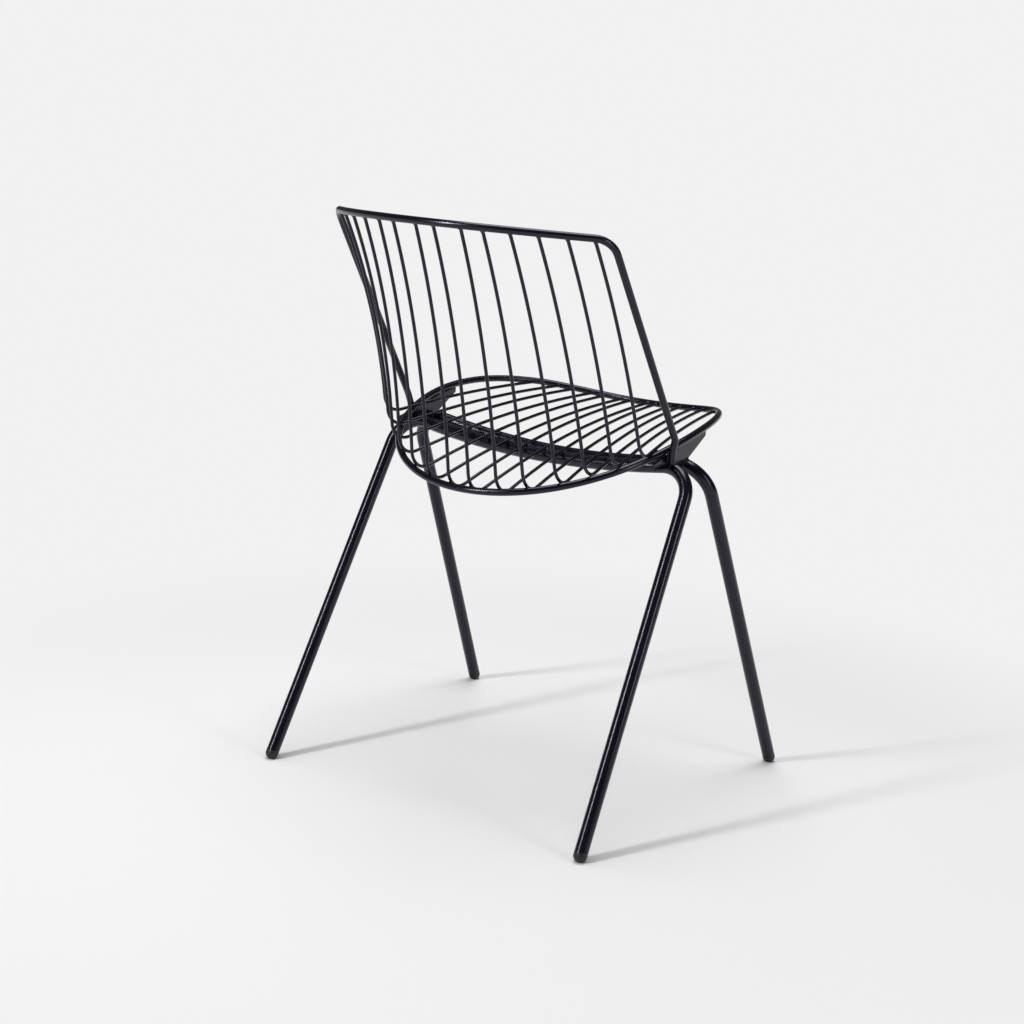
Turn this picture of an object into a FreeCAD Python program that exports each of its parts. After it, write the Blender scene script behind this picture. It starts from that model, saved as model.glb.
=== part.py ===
import FreeCAD, Part
import math
import os

# Wire mesh chair: two bent leg tubes, two side plates, a seat hoop, a back rim and
# fourteen bent wires that form the seat and the back, all welded; four glides are plugged in.
# Millimetres, +Z up, front of the chair towards -Y, origin on the floor in the middle.
# Sizes along Y count from the seat datum, the centre of the hoop's rear arc.

doc = FreeCAD.newDocument("wire_mesh_chair")
sheet = doc.addObject("Spreadsheet::Sheet", "Sizes")

SIZES = [
    ("tube_diameter", 17.0, "outer diameter of the leg tubes"),
    ("tube_wall", 1.5, "wall of the leg tubes"),
    ("rod_diameter", 9.0, "round bar of the seat hoop and the back rim"),
    ("wire_diameter", 4.3, "round wire of the mesh"),
    ("plate_thickness", 3.0, "side plates"),
    ("weld_gap", 0.2, "gap left between two welded pieces"),
    ("rear_foot_spread", 492.4, "rear feet, centre to centre on the floor"),
    ("rear_tube_reach", 18.00, "rear tube's plane behind the seat datum, at the hoop's height"),
    ("rear_tube_tilt", 27.6, "degrees between the rear tube's plane and the vertical"),
    ("rear_leg_lean", 1.84, "degrees each rear leg leans inwards in that plane"),
    ("rear_bend_radius", 38.8, "bends between the rear legs and their run"),
    ("rear_run_radius", 1152.7, "sag radius of the rear tube's run"),
    ("front_foot_spread", 508.6, "front feet, centre to centre on the floor"),
    ("front_tube_reach", 0.18, "front tube's plane ahead of the seat datum, at the hoop's height"),
    ("front_tube_tilt", 25.4, "degrees between the front tube's plane and the vertical"),
    ("front_leg_lean", 2.98, "degrees each front leg leans inwards in that plane"),
    ("front_bend_radius", 45.3, "bends between the front legs and their run"),
    ("front_run_radius", 863.8, "sag radius of the front tube's run"),
    ("front_run_drop", 33.2, "lowest point of the front tube's centreline run below the hoop"),
    ("hoop_rear_radius", 200.0, "rear arc of the seat hoop in plan"),
    ("hoop_rear_turn", 73.6, "degrees of that arc on each side"),
    ("hoop_side_radius", 256.5, "side arcs of the hoop in plan"),
    ("hoop_side_turn", 55.2, "degrees of a side arc"),
    ("hoop_corner_radius", 62.0, "front corners of the hoop in plan"),
    ("hoop_corner_turn", 24.0, "degrees of a front corner"),
    ("hoop_height", 456.2, "mean height of the hoop's centreline"),
    ("hoop_slope", 34.7, "half the rise of the hoop from back to front"),
    ("hoop_dish", 19.9, "how far its sides stand above the front and the back"),
    ("hoop_nose", 2.7, "how far its front edge rolls down"),
    ("hoop_span_turn", 27.0, "degrees of the hoop in plan that one pair of arcs follows at most"),
    ("rim_height", 733.6, "top of the rim's centreline, in the middle"),
    ("rim_reach", 295.9, "the same point behind the seat datum"),
    ("rim_corner_width", 408.0, "between the rim's upper corners"),
    ("rim_corner_drop", 5.3, "corners below the middle"),
    ("rim_corner_sweep", 87.5, "corners ahead of the middle"),
    ("rim_corner_radius", 34.0, "bends at the corners"),
    ("rim_foot_width", 419.9, "between the side rods where they are joggled in"),
    ("rim_foot_rise", 21.8, "height of that joggle above the hoop"),
    ("rim_foot_reach", 40.7, "that joggle behind the seat datum"),
    ("rim_joggle_drop", 16.0, "height over which a side rod steps in to its plate"),
    ("rim_joggle_lead", 3.0, "how far it steps forward there"),
    ("rim_joggle_radius", 12.0, "bends of the joggle"),
    ("rim_end_length", 14.0, "straight end of a side rod below the joggle"),
    ("wire_bend_radius", 28.3, "bends of the mesh wires"),
    ("wire_bend_reach", 198.1, "middle wires' sharp bend corner behind the seat datum"),
    ("wire_bend_drop", 64.5, "that corner below the hoop"),
    ("wire_bend_sweep", 0.002227, "how the corners come forward, per square of the side distance"),
    ("wire_bend_rise", 0.0018, "how the corners rise, per square of the side distance"),
    ("wire_sweep_growth", 579.0, "side distance at which that coming forward would double"),
    ("wire_rise_fade", 737.0, "side distance at which that rise would end"),
    ("wire_lift_limit", 20.0, "furthest a wire is lifted or lowered to lie on the hoop"),
    ("back_bulge", 13.2, "how far the wires of the back bow towards the sitter"),
    ("seat_bulge", 15.8, "how far the wires of the seat bow upwards"),
    ("seat_bulge_fade", 0.000264, "how that bow fades, per square of the side distance"),
    ("plate_front_length", 52.0, "front tip of a side plate ahead of the seat datum"),
    ("plate_rear_length", 71.8, "rear tip behind the seat datum"),
    ("plate_tip_height", 6.0, "height of the plate's tips"),
    ("plate_heel", 4.0, "start of the plate's front lower edge ahead of the front tube's centreline"),
    ("plate_heel_rise", 9.5, "the same point above that centreline"),
    ("glide_collar", 3.0, "straight part of a glide between its dome and the tube"),
    ("glide_flat", 1.0, "how much of the dome is cut flat on the floor"),
    ("glide_stem", 22.0, "length of the plug inside the tube"),
    ("glide_clearance", 0.15, "radial play of the plug in the tube"),
]

# side distance of each wire at the rim, at the bend and at the front, from the middle outwards
WIRE_TOP = [13.0, 49.4, 75.8, 106.4, 135.7, 163.7, 188.3]
WIRE_BEND = [15.7, 53.4, 86.6, 121.8, 149.5, 174.1, 198.6]
WIRE_FRONT = [13.6, 27.1, 52.4, 70.4, 96.4, 116.8, 144.1]
STATIONS = (("top", WIRE_TOP), ("bend", WIRE_BEND), ("front", WIRE_FRONT))

sheet.set("A1", "size")
sheet.set("B1", "value")
sheet.set("C1", "meaning")
rows = list(SIZES)
for station, places in STATIONS:
    for number, place in enumerate(places, 1):
        meaning = "wire pair %d at the %s, from the middle" % (number, station)
        rows.append(("wire_%s_place_%d" % (station, number), place, meaning))
for row, (alias, value, meaning) in enumerate(rows, 2):
    sheet.set("A%d" % row, alias)
    sheet.set("B%d" % row, str(value))
    sheet.set("C%d" % row, meaning)
    sheet.setAlias("B%d" % row, alias)
doc.recompute()


def size(alias):
    return float(sheet.get(alias))


def vec(x, y, z):
    return FreeCAD.Vector(x, y, z)


def mirrored(point):
    return vec(-point.x, point.y, point.z)


TUBE_R = size("tube_diameter") / 2
ROD_R = size("rod_diameter") / 2
WIRE_R = size("wire_diameter") / 2
GAP = size("weld_gap")


# Paths of straight runs and tangent arcs, as edges
def arc_edge(first, middle, last):
    return Part.Arc(first, middle, last).toShape()


def line_edge(first, last):
    return Part.LineSegment(first, last).toShape()


def tangent_arc(first, corner, last):
    """Arc from first to last, both the same distance from the corner of its two tangents."""
    chord_middle = (first + last) * 0.5
    half_chord = (last - first).Length / 2
    rise = (chord_middle - corner).Length
    tangent = math.hypot(half_chord, rise)
    if rise < 1e-6:
        return line_edge(first, last)
    radius = tangent * half_chord / rise
    inwards = (chord_middle - corner) * (1 / rise)
    return arc_edge(first, corner + inwards * (math.hypot(radius, tangent) - radius), last)


def biarc(first, first_way, last, last_way):
    """Two tangent arcs between two points with given unit directions."""
    gap = last - first
    ways = first_way + last_way
    spread = 2 * (1 - first_way.dot(last_way))
    if spread < 1e-9:
        reach = gap.dot(gap) / (4 * gap.dot(last_way))
    else:
        along = gap.dot(ways)
        reach = (math.sqrt(along * along + spread * gap.dot(gap)) - along) / spread
    one = first + first_way * reach
    two = last - last_way * reach
    middle = (one + two) * 0.5
    return [tangent_arc(first, one, middle), tangent_arc(middle, two, last)]


def filleted(points, radii):
    """Straight runs through the points with each inner corner rounded to its radius."""
    edges = []
    start = points[0]
    for before, corner, after, radius in zip(points, points[1:], points[2:], radii):
        back = (before - corner).normalize()
        ahead = (after - corner).normalize()
        reach = radius / math.tan(back.getAngle(ahead) / 2)
        first = corner + back * reach
        last = corner + ahead * reach
        if (first - start).Length > 1e-6:
            edges.append(line_edge(start, first))
        edges.append(tangent_arc(first, corner, last))
        start = last
    edges.append(line_edge(start, points[-1]))
    return edges


# Seat hoop: four tangent arcs on each side in plan, with the height as a smooth wave along it
def plan_arcs():
    turn_one = math.radians(size("hoop_rear_turn"))
    turn_two = turn_one + math.radians(size("hoop_side_turn"))
    turn_three = turn_two + math.radians(size("hoop_corner_turn"))
    rear, side, corner = (size("hoop_%s_radius" % name) for name in ("rear", "side", "corner"))
    side_x = (rear - side) * math.sin(turn_one)
    side_y = (rear - side) * math.cos(turn_one)
    corner_x = side_x + (side - corner) * math.sin(turn_two)
    corner_y = side_y + (side - corner) * math.cos(turn_two)
    front = corner + corner_x / math.sin(turn_three)
    front_y = corner_y + (corner - front) * math.cos(turn_three)
    return [
        (0.0, 0.0, rear, 0.0, turn_one),
        (side_x, side_y, side, turn_one, turn_two),
        (corner_x, corner_y, corner, turn_two, turn_three),
        (0.0, front_y, front, turn_three, math.pi),
    ]


PLAN = plan_arcs()
HALF_HOOP = sum(radius * (end - begin) for _, _, radius, begin, end in PLAN)


def hoop_point(along):
    """Centreline of the hoop's +X half at a plan distance from its rear middle."""
    left = along
    for x, y, radius, begin, end in PLAN:
        span = radius * (end - begin)
        if left <= span or end == math.pi:
            break
        left -= span
    angle = begin + left / radius
    wave = math.pi * along / HALF_HOOP
    height = size("hoop_height")
    height -= size("hoop_slope") * math.cos(wave)
    height -= size("hoop_dish") * math.cos(2 * wave)
    height += size("hoop_nose") * math.cos(3 * wave)
    return vec(x + radius * math.sin(angle), y + radius * math.cos(angle), height)


def hoop_way(along):
    step = 0.01
    return (hoop_point(along + step) - hoop_point(along - step)).normalize()


def hoop_half(arcs):
    """Biarcs that follow the hoop over some of its plan arcs, counted from the rear middle."""
    edges = []
    begin = 0.0
    for _, _, radius, start, end in arcs:
        length = radius * (end - start)
        spans = math.ceil(math.degrees(end - start) / size("hoop_span_turn"))
        for span in range(spans):
            first = begin + length * span / spans
            last = begin + length * (span + 1) / spans
            edges += biarc(hoop_point(first), hoop_way(first), hoop_point(last), hoop_way(last))
        begin += length
    return edges


HALF_HOOP_EDGES = hoop_half(PLAN)
HOOP_SIDE = Part.Compound(hoop_half(PLAN[:2]))


def edge_ends(edge):
    first, last = edge.ParameterRange
    return [edge.valueAt(first + (last - first) * share) for share in (0.0, 0.5, 1.0)]


def mirror_edges(edges):
    """The edges reflected in the middle plane, in the opposite order."""
    return [arc_edge(*[mirrored(point) for point in reversed(edge_ends(edge))]) if edge.Curve.TypeId
            == "Part::GeomCircle" else line_edge(*[mirrored(point) for point in
                                                   reversed(edge_ends(edge)[::2])])
            for edge in reversed(edges)]


def hoop_where(test, low, high):
    """Plan distance between low and high at which the test on the hoop stops being true."""
    for _ in range(50):
        middle = (low + high) / 2
        if test(hoop_point(middle)):
            low = middle
        else:
            high = middle
    return low


def hoop_at_reach(reach):
    """Point of the hoop's side at a given distance behind the datum."""
    return hoop_point(hoop_where(lambda point: point.y > reach, 0.0, HALF_HOOP))


def hoop_front_at(side):
    """Plan distance to the point of the hoop's front half at a given side distance."""
    return hoop_where(lambda point: point.x > side, HALF_HOOP * 0.5, HALF_HOOP)


# Back rim: a top arc, a bend at each corner and two straight side rods, joggled in at the foot
RIM_TOP = vec(0, size("rim_reach"), size("rim_height"))
RIM_CORNER = RIM_TOP + vec(size("rim_corner_width") / 2, -size("rim_corner_sweep"), -size("rim_corner_drop"))
RIM_FOOT = vec(size("rim_foot_width") / 2, size("rim_foot_reach"),
               size("hoop_height") + size("rim_foot_rise"))
RIM_DOWN = vec(0, -size("rim_corner_sweep"), -size("rim_corner_drop")).normalize()
CORNER_DOWN = (RIM_CORNER - RIM_TOP).dot(RIM_DOWN)


def rim_arc():
    """Radius of the top arc and the plane point where the corner bend starts."""
    reach = size("rim_corner_radius")
    for _ in range(60):
        radius = (RIM_CORNER.x ** 2 + CORNER_DOWN ** 2 - reach ** 2) / (2 * CORNER_DOWN)
        far = math.hypot(RIM_CORNER.x, radius - CORNER_DOWN)
        angle = math.atan2(RIM_CORNER.x, radius - CORNER_DOWN) - math.acos(radius / far)
        start = rim_on_arc(radius, radius * math.sin(angle))
        opening = (start - RIM_CORNER).getAngle(RIM_FOOT - RIM_CORNER)
        reach = size("rim_corner_radius") / math.tan(opening / 2)
    return radius, start


def rim_on_arc(radius, side):
    return RIM_TOP + vec(side, 0, 0) + RIM_DOWN * (radius - math.sqrt(radius ** 2 - side ** 2))


RIM_RADIUS, RIM_BEND_START = rim_arc()
rod_end_y = RIM_FOOT.y - size("rim_joggle_lead")
ROD_END_X = hoop_at_reach(rod_end_y).x + 2 * ROD_R + GAP
JOGGLE_END = vec(ROD_END_X, rod_end_y, RIM_FOOT.z - size("rim_joggle_drop"))
ROD_END = JOGGLE_END - vec(0, 0, size("rim_end_length"))
PLATE_OUTER_X = ROD_END_X - ROD_R - GAP
PLATE_X = PLATE_OUTER_X - size("plate_thickness") / 2


def rim_half():
    corners = [ROD_END, JOGGLE_END, RIM_FOOT, RIM_CORNER, RIM_BEND_START]
    joggle = size("rim_joggle_radius")
    return filleted(corners, [joggle, joggle, size("rim_corner_radius")])[:-1]


def rim_edges():
    half = rim_half()
    top = [rim_on_arc(RIM_RADIUS, RIM_BEND_START.x * share) for share in (1.0, 0.0, -1.0)]
    return half + [arc_edge(*top)] + mirror_edges(half)


def rim_at(side):
    """Point of the rim's centreline at a side distance, on the top arc or on the corner bend."""
    if side <= RIM_BEND_START.x:
        return rim_on_arc(RIM_RADIUS, side)
    bend = rim_half()[-1]
    outer, inner = bend.ParameterRange
    for _ in range(50):
        middle = (outer + inner) / 2
        if bend.valueAt(middle).x > side:
            outer = middle
        else:
            inner = middle
    return bend.valueAt(inner)


# Mesh wires: in its own plane each is a bowed back part, a bend and a bowed seat part
def mesh_wire_edges(top, corner, front, back_bow, seat_bow):
    seat_way = (front - corner).normalize()
    seat_length = (front - corner).Length
    up = top - corner
    up_way = (up - seat_way * up.dot(seat_way)).normalize()

    def place(flat):
        return corner + seat_way * flat[0] + up_way * flat[1]

    end = (up.dot(seat_way), up.dot(up_way))
    back_length = math.hypot(*end)
    seat_radius = (seat_length ** 2 / 4 + seat_bow ** 2) / (2 * seat_bow)
    back_radius = (back_length ** 2 / 4 + back_bow ** 2) / (2 * back_bow)
    seat_centre = (seat_length / 2, seat_bow - seat_radius)
    back_centre = (end[0] / 2 - end[1] / back_length * (back_radius - back_bow),
                   end[1] / 2 + end[0] / back_length * (back_radius - back_bow))
    bend = size("wire_bend_radius")
    seat_reach = seat_radius + bend
    back_reach = back_radius + bend
    across = (back_centre[0] - seat_centre[0], back_centre[1] - seat_centre[1])
    distance = math.hypot(*across)
    along = (seat_reach ** 2 - back_reach ** 2 + distance ** 2) / (2 * distance)
    aside = math.sqrt(seat_reach ** 2 - along ** 2)
    centres = [(seat_centre[0] + (across[0] * along - sign * across[1] * aside) / distance,
                seat_centre[1] + (across[1] * along + sign * across[0] * aside) / distance)
               for sign in (1, -1)]
    bend_centre = min(centres, key=lambda flat: math.hypot(*flat))
    back_share = back_radius / back_reach
    seat_share = seat_radius / seat_reach
    back_end = [one + (two - one) * back_share for one, two in zip(back_centre, bend_centre)]
    seat_end = [one + (two - one) * seat_share for one, two in zip(seat_centre, bend_centre)]
    return [
        round_centre(top, place(back_end), place(back_centre)),
        round_centre(place(back_end), place(seat_end), place(bend_centre)),
        round_centre(place(seat_end), front, place(seat_centre)),
    ]


def round_centre(first, last, centre):
    """The shorter arc about a centre."""
    radius = (first - centre).Length
    outwards = ((first + last) * 0.5 - centre).normalize()
    return arc_edge(first, centre + outwards * radius, last)


def wire_ends(number):
    top = rim_at(size("wire_top_place_%d" % number))
    front = hoop_point(hoop_front_at(size("wire_front_place_%d" % number)))
    return top, front


def wire_shape(number, lift):
    """Edges of a wire whose bend corner is lifted forwards and upwards off its free place."""
    top, front = wire_ends(number)
    side = size("wire_bend_place_%d" % number)
    sweep = size("wire_bend_sweep") * side ** 2 * (1 + (side / size("wire_sweep_growth")) ** 2)
    rise = size("wire_bend_rise") * side ** 2 * (1 - (side / size("wire_rise_fade")) ** 2)
    corner = vec(side, size("wire_bend_reach") - sweep,
                 size("hoop_height") - size("wire_bend_drop") + rise)
    corner += vec(0, -lift, lift) * math.sqrt(0.5)
    seat_bow = size("seat_bulge") - size("seat_bulge_fade") * side ** 2
    return mesh_wire_edges(top, corner, front, size("back_bulge"), seat_bow)


def above_hoop(number, lift):
    """Distance between the centrelines of the hoop's side and of a wire's rear part."""
    back, bend, seat = wire_shape(number, lift)
    first, middle = edge_ends(seat)[:2]
    rear_part = Part.Wire([back, bend, round_centre(first, middle, seat.Curve.Center)])
    return rear_part.distToShape(HOOP_SIDE)[0]


def seated_wire(number):
    """A wire lowered until it lies on the hoop with only the welding gap."""
    touching = WIRE_R + ROD_R + GAP
    step = 1.0
    low = size("wire_lift_limit")
    while above_hoop(number, low) > touching and low > -size("wire_lift_limit"):
        low -= step
    high = low + step
    for _ in range(14):
        middle = (low + high) / 2
        if above_hoop(number, middle) > touching:
            high = middle
        else:
            low = middle
    return wire_shape(number, high)


PAIRS = range(1, len(WIRE_TOP) + 1)
WIRES = [seated_wire(number) for number in PAIRS]


# Leg tubes: each lies in one tilted plane, two legs and a run that sags in the middle
class LegTube:
    def __init__(self, name, backwards):
        self.tilt = math.radians(size(name + "_tube_tilt"))
        self.lean = math.radians(size(name + "_leg_lean"))
        self.bend = size(name + "_bend_radius")
        self.run = size(name + "_run_radius")
        self.foot_x = size(name + "_foot_spread") / 2
        slope_reach = size("hoop_height") * math.tan(self.tilt)
        self.foot_y = backwards * (size(name + "_tube_reach") + slope_reach)
        self.backwards = backwards

    def place(self, across, along):
        """Point of the tube's plane, from the middle and along the slope from the floor."""
        return vec(across, self.foot_y - self.backwards * along * math.sin(self.tilt),
                   along * math.cos(self.tilt))

    def leg_way(self):
        return (-math.sin(self.lean), math.cos(self.lean))

    def half(self, run_height):
        """Edges from the foot of the +X leg to the middle of the run."""
        way = self.leg_way()
        inwards = (-way[1], way[0])
        base = (self.foot_x + inwards[0] * self.bend, inwards[1] * self.bend)
        run_centre = run_height / math.cos(self.tilt) + self.run
        offset = (base[0], base[1] - run_centre)
        along = offset[0] * way[0] + offset[1] * way[1]
        reach = self.run + self.bend
        distance = -along - math.sqrt(along ** 2 - offset[0] ** 2 - offset[1] ** 2 + reach ** 2)
        bend = (base[0] + way[0] * distance, base[1] + way[1] * distance)
        leg_end = (bend[0] - inwards[0] * self.bend, bend[1] - inwards[1] * self.bend)
        share = self.bend / reach
        run_end = (bend[0] * (1 - share), bend[1] + (run_centre - bend[1]) * share)
        top_angle = (math.atan2(leg_end[1] - bend[1], leg_end[0] - bend[0])
                     + math.atan2(run_end[1] - bend[1], run_end[0] - bend[0])) / 2
        top = (bend[0] + self.bend * math.cos(top_angle), bend[1] + self.bend * math.sin(top_angle))
        middle = (0, run_centre - self.run)
        half_angle = math.asin(run_end[0] / self.run) / 2
        quarter = (self.run * math.sin(half_angle), run_centre - self.run * math.cos(half_angle))
        foot = (self.foot_x, 0)
        return [
            line_edge(self.place(*foot), self.place(*leg_end)),
            arc_edge(self.place(*leg_end), self.place(*top), self.place(*run_end)),
            arc_edge(self.place(*run_end), self.place(*quarter), self.place(*middle)),
        ]


REAR = LegTube("rear", 1)
FRONT = LegTube("front", -1)
FRONT_RUN = size("hoop_height") - size("front_run_drop")


def rear_run_height():
    """The rear tube's run carries the wires: as high as they leave it."""
    mesh = Part.Compound([edge for wire in WIRES for edge in wire])
    touching = WIRE_R + TUBE_R + GAP
    low = size("hoop_height") - size("hoop_slope") - size("hoop_dish")
    high = size("hoop_height")
    for _ in range(16):
        middle = (low + high) / 2
        run = REAR.half(middle)[-1]
        if run.distToShape(mesh)[0] > touching:
            low = middle
        else:
            high = middle
    return low


def tube_edges(tube, run_height, start):
    """The whole path, with both legs cut short by a length measured from the floor."""
    half = tube.half(run_height)
    foot, knee = edge_ends(half[0])[::2]
    half[0] = line_edge(foot + (knee - foot).normalize() * start, knee)
    return half + mirror_edges(half)


# Document objects
def path_object(name, edges):
    path = doc.addObject("Part::Feature", name + "_path")
    path.Shape = Part.Wire(edges)
    return path


def swept(name, path, radius):
    """Round bar along a path, its radius an expression on the sheet."""
    section = doc.addObject("Part::Circle", name + "_section")
    section.setExpression("Radius", radius)
    edge = path.Shape.OrderedEdges[0]
    start = path.Shape.OrderedVertexes[0].Point
    way = edge.tangentAt(edge.getParameterByLength(0))
    section.Placement = FreeCAD.Placement(start, FreeCAD.Rotation(vec(0, 0, 1), way))
    sweep = doc.addObject("Part::Sweep", name)
    sweep.Sections = [section]
    sweep.Spine = (path, [])
    sweep.Solid = True
    sweep.Frenet = False
    return sweep


def cut(name, base, tool):
    result = doc.addObject("Part::Cut", name)
    result.Base = base
    result.Tool = tool
    return result


def notch_tool(name, centre, way):
    """Short cylinder around a leg tube, wider by the welding gap, its seam at the bottom."""
    tool = doc.addObject("Part::Cylinder", name)
    tool.setExpression("Radius", "Sizes.tube_diameter / 2 + Sizes.weld_gap")
    tool.setExpression("Height", "Sizes.tube_diameter * 3")
    down = vec(0, 0, -1)
    turn = FreeCAD.Rotation(down, way.cross(down), way, "ZXY")
    tool.Placement = FreeCAD.Placement(centre - way * (1.5 * size("tube_diameter")), turn)
    return tool


def mirror_object(name, source):
    result = doc.addObject("Part::Mirroring", name)
    result.Source = source
    result.Normal = vec(1, 0, 0)
    return result


parts = []


def keep(piece, label):
    piece.Label = label
    parts.append(piece)
    return piece


def leg_tube(name, tube, run_height):
    start = glide_seam(tube)
    path = path_object(name, tube_edges(tube, run_height, start))
    outer = swept(name + "_outer", path, "Sizes.tube_diameter / 2")
    bore = swept(name + "_bore", path, "Sizes.tube_diameter / 2 - Sizes.tube_wall")
    return keep(cut(name, outer, bore), name)


def glide_seam(tube):
    """Distance along a leg from the floor to the joint between glide and tube."""
    return glide_centre(tube) + size("glide_collar")


def glide_centre(tube):
    rise = math.cos(tube.tilt) * math.cos(tube.lean)
    return (TUBE_R - size("glide_flat")) / rise


def glide(name, tube):
    """Domed plug in the +X leg: dome, collar and stem on the leg's axis, flat on the floor."""
    foot, knee = edge_ends(tube.half(FRONT_RUN)[0])[::2]
    way = (knee - foot).normalize()
    turn = FreeCAD.Rotation(vec(0, 0, 1), way)
    centre = foot + way * glide_centre(tube)
    dome = doc.addObject("Part::Sphere", name + "_dome")
    dome.setExpression("Radius", "Sizes.tube_diameter / 2")
    dome.Placement = FreeCAD.Placement(centre, turn)
    collar = doc.addObject("Part::Cylinder", name + "_collar")
    collar.setExpression("Radius", "Sizes.tube_diameter / 2")
    collar.setExpression("Height", "Sizes.glide_collar")
    collar.Placement = FreeCAD.Placement(centre, turn)
    stem = doc.addObject("Part::Cylinder", name + "_stem")
    stem.setExpression("Radius", "Sizes.tube_diameter / 2 - Sizes.tube_wall - Sizes.glide_clearance")
    stem.setExpression("Height", "Sizes.glide_stem + Sizes.glide_collar")
    stem.Placement = FreeCAD.Placement(centre, turn)
    whole = doc.addObject("Part::MultiFuse", name + "_whole")
    whole.Shapes = [dome, collar, stem]
    floor = doc.addObject("Part::Box", name + "_floor")
    floor.setExpression("Length", "4 * Sizes.tube_diameter")
    floor.setExpression("Width", "4 * Sizes.tube_diameter")
    floor.setExpression("Height", "Sizes.tube_diameter")
    side = 2 * size("tube_diameter")
    floor.Placement.Base = vec(foot.x - side, foot.y - side, -size("tube_diameter"))
    return cut(name, whole, floor)


def side_plate(name, rear_height):
    """Flat plate under the hoop's side, notched over both tubes."""
    rear, rear_way = tube_at(REAR, rear_height)
    front, front_way = tube_at(FRONT, FRONT_RUN)
    under = ROD_R + GAP
    tip = size("plate_tip_height")
    hoop_front = hoop_at_reach(-size("plate_front_length"))
    hoop_middle = hoop_at_reach(front.y)
    hoop_rear = hoop_at_reach(rod_end_y)
    tail_y = size("plate_rear_length")
    slope = (hoop_rear.z - hoop_middle.z) / (hoop_rear.y - hoop_middle.y)
    tail_z = hoop_rear.z + slope * (tail_y - hoop_rear.y)
    top = [vec(0, point.y, point.z - under) for point in (hoop_front, hoop_middle, hoop_rear)]
    tail = vec(0, tail_y, tail_z - under)
    tail_low = tail - vec(0, 0, tip)
    rear_low = vec(0, rear.y, rear.z)
    front_low = vec(0, front.y, front.z)
    heel = vec(0, front.y - size("plate_heel"), front.z + size("plate_heel_rise"))
    nose_low = top[0] - vec(0, 0, tip)
    outline = Part.Wire([
        arc_edge(*top),
        line_edge(top[2], tail),
        line_edge(tail, tail_low),
        line_edge(tail_low, rear_low),
        line_edge(rear_low, front_low),
        line_edge(front_low, heel),
        line_edge(heel, nose_low),
        line_edge(nose_low, top[0]),
    ])
    blank = doc.addObject("Part::Feature", name + "_outline")
    blank.Shape = Part.Face(outline)
    blank.Placement.Base = vec(PLATE_OUTER_X - size("plate_thickness"), 0, 0)
    sheet_metal = doc.addObject("Part::Extrusion", name + "_blank")
    sheet_metal.Base = blank
    sheet_metal.Dir = vec(1, 0, 0)
    sheet_metal.setExpression("LengthFwd", "Sizes.plate_thickness")
    sheet_metal.Solid = True
    notched = sheet_metal
    for tube_name, (centre, way) in (("rear", (rear, rear_way)), ("front", (front, front_way))):
        tool = notch_tool(name + "_" + tube_name + "_notch", centre, way)
        notched = cut(name + "_" + tube_name + "_cut", notched, tool)
    return notched


def tube_at(tube, run_height):
    """Where the tube's centreline passes the side plate, and its direction there."""
    plane = Part.Plane(vec(PLATE_X, 0, 0), vec(1, 0, 0))
    for edge in tube.half(run_height)[:0:-1]:
        hits = plane.intersect(edge.Curve)[0]
        for hit in hits:
            point = vec(hit.X, hit.Y, hit.Z)
            if Part.Vertex(point).distToShape(edge)[0] < 1e-4:
                return point, edge.tangentAt(edge.Curve.parameter(point))
    raise RuntimeError("a leg tube does not pass its side plate")


def cut_back(wire_way, rod_way):
    """Length by which a square-cut wire stops short of the middle of the rod it is welded to."""
    slant = abs(wire_way.dot(rod_way))
    return (ROD_R + GAP + slant * WIRE_R) / math.sqrt(1 - slant ** 2)


def mesh_wire(name, number):
    """Bent wire, cut square where it butts against the rim and against the front of the hoop."""
    back, bend, seat = WIRES[number - 1]
    side = size("wire_top_place_%d" % number)
    step = 0.01
    rim_way = rim_at(side + step) - rim_at(side - step)
    front_way = hoop_way(hoop_front_at(size("wire_front_place_%d" % number)))
    top_cut = cut_back(back.tangentAt(back.FirstParameter), rim_way.normalize())
    front_cut = cut_back(seat.tangentAt(seat.LastParameter), front_way)
    top = back.valueAt(back.getParameterByLength(top_cut))
    front = seat.valueAt(seat.getParameterByLength(seat.Length - front_cut))
    edges = [
        round_centre(top, edge_ends(back)[2], back.Curve.Center),
        bend,
        round_centre(edge_ends(seat)[0], front, seat.Curve.Center),
    ]
    return swept(name, path_object(name, edges), "Sizes.wire_diameter / 2")


RUN_HEIGHT = rear_run_height()
leg_tube("rear_leg_tube", REAR, RUN_HEIGHT)
leg_tube("front_leg_tube", FRONT, FRONT_RUN)
plate = keep(side_plate("side_plate", RUN_HEIGHT), "side_plate_left")
keep(mirror_object("side_plate_mirror", plate), "side_plate_right")

hoop_path = path_object("seat_hoop", HALF_HOOP_EDGES + mirror_edges(HALF_HOOP_EDGES))
keep(swept("seat_hoop", hoop_path, "Sizes.rod_diameter / 2"), "seat_hoop")
rim_path = path_object("back_rim", rim_edges())
keep(swept("back_rim", rim_path, "Sizes.rod_diameter / 2"), "back_rim")

for number in PAIRS:
    wire = keep(mesh_wire("mesh_wire_%d" % number, number), "mesh_wire_left_%d" % number)
    keep(mirror_object("mesh_wire_mirror_%d" % number, wire), "mesh_wire_right_%d" % number)

for tube, end in ((REAR, "rear"), (FRONT, "front")):
    foot = keep(glide("glide_" + end, tube), "glide_%s_left" % end)
    keep(mirror_object("glide_%s_mirror" % end, foot), "glide_%s_right" % end)

# The origin lies midway between the front of the hoop and the back of the rim
front_end = hoop_point(HALF_HOOP).y - ROD_R
back_end = RIM_TOP.y + ROD_R
for piece in parts:
    if piece.TypeId != "Part::Mirroring":
        piece.Placement.Base = vec(0, -(front_end + back_end) / 2, 0)
doc.recompute()

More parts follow.
